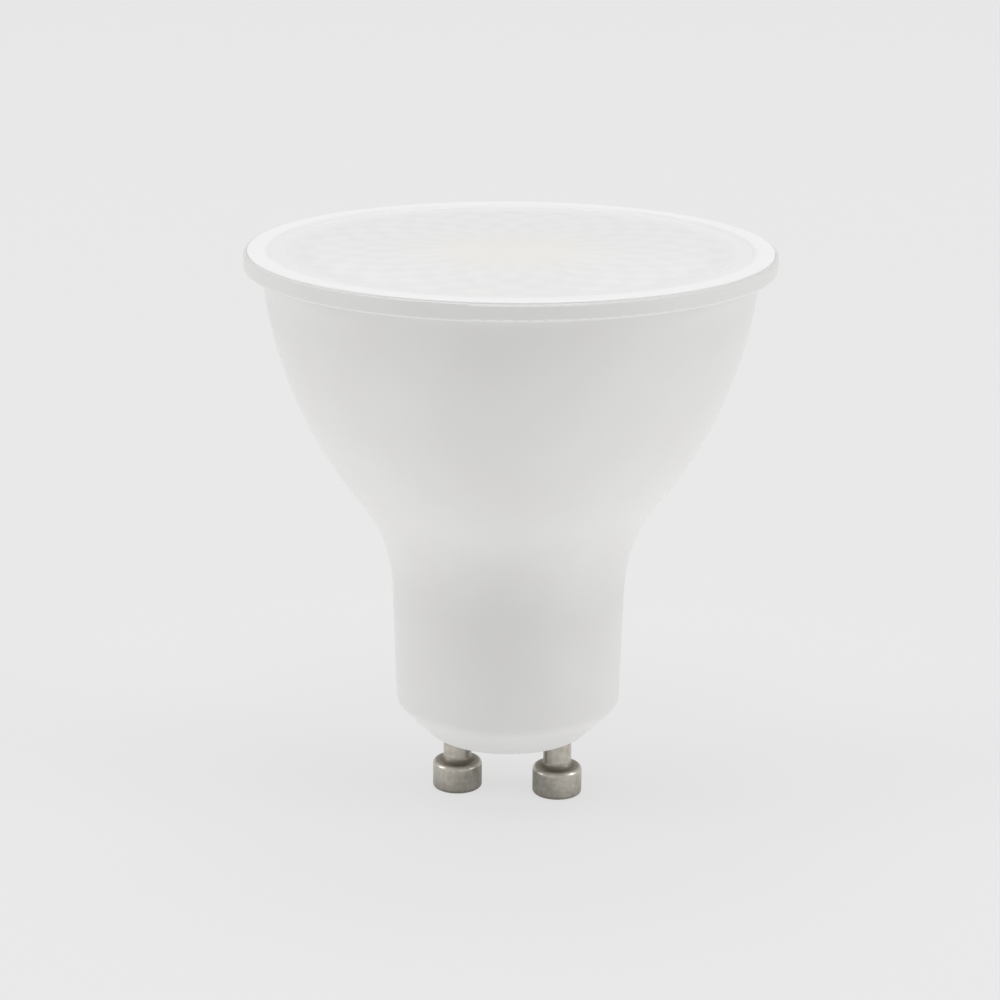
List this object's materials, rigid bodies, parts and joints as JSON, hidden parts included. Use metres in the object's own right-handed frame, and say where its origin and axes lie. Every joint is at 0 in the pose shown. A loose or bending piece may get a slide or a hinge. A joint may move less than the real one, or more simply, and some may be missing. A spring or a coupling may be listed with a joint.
{
  "type": "spotlight bulb",
  "caption": "Reflector-shaped LED lamp with a white plastic bell, a clear faceted front lens and two headed bayonet contact pins on a bevelled base.",
  "frame": {"origin": "midway between the two contact pins, in the plane of their end faces", "axes": "+Z along the lamp's axis towards the lens, X from the left contact pin to the right one"},
  "size_m": [0.05, 0.05, 0.0547],
  "materials": {
    "white_plastic": "fine matt white, moulded",
    "clear_plastic": "clear, polished",
    "nickel": "bright nickel plate, turned",
    "aluminium": "drawn, satin",
    "white_board": "white solder mask",
    "grey_pad": "soft silicone",
    "screw_steel": "zinc plated",
    "natural_plastic": "plain sheet",
    "led_white": "white moulding",
    "phosphor": "yellow silicone fill",
    "green_board": "green solder mask",
    "white_wire": "insulated wire",
    "red_wire": "insulated wire",
    "black_wire": "insulated wire",
    "film_yellow": "dipped epoxy",
    "can_sleeve": "shrunk sleeve over an aluminium can",
    "ferrite": "sintered, dark grey",
    "copper_coil": "enamelled copper",
    "resistor_sleeve": "flameproof coating",
    "black_moulding": "moulded epoxy",
    "chip_ceramic": "ceramic body"
  },
  "bodies": {
    "root": {"housing": "white_plastic", "lens": "clear_plastic", "contact_pin_left": "nickel", "contact_pin_right": "nickel", "heat_sink_cup": "aluminium", "led_board": "white_board", "thermal_pad": "grey_pad", "board_screws": "screw_steel", "insulating_plate": "natural_plastic", "led_1": "led_white", "led_2": "led_white", "led_3": "led_white", "led_4": "led_white", "led_5": "led_white", "led_6": "led_white", "led_7": "led_white", "phosphor_1": "phosphor", "phosphor_2": "phosphor", "phosphor_3": "phosphor", "phosphor_4": "phosphor", "phosphor_5": "phosphor", "phosphor_6": "phosphor", "phosphor_7": "phosphor", "driver_board": "green_board", "live_wire": "white_wire", "neutral_wire": "white_wire", "positive_lead": "red_wire", "negative_lead": "black_wire", "film_capacitor": "film_yellow", "input_capacitor": "can_sleeve", "output_capacitor": "can_sleeve", "choke_core": "ferrite", "choke_winding": "copper_coil", "fusible_resistor": "resistor_sleeve", "bridge_rectifier": "black_moulding", "driver_chip": "black_moulding", "freewheel_diode": "black_moulding", "sense_resistor_1": "black_moulding", "sense_resistor_2": "black_moulding", "chip_capacitor": "chip_ceramic"}
  },
  "joints": []
}
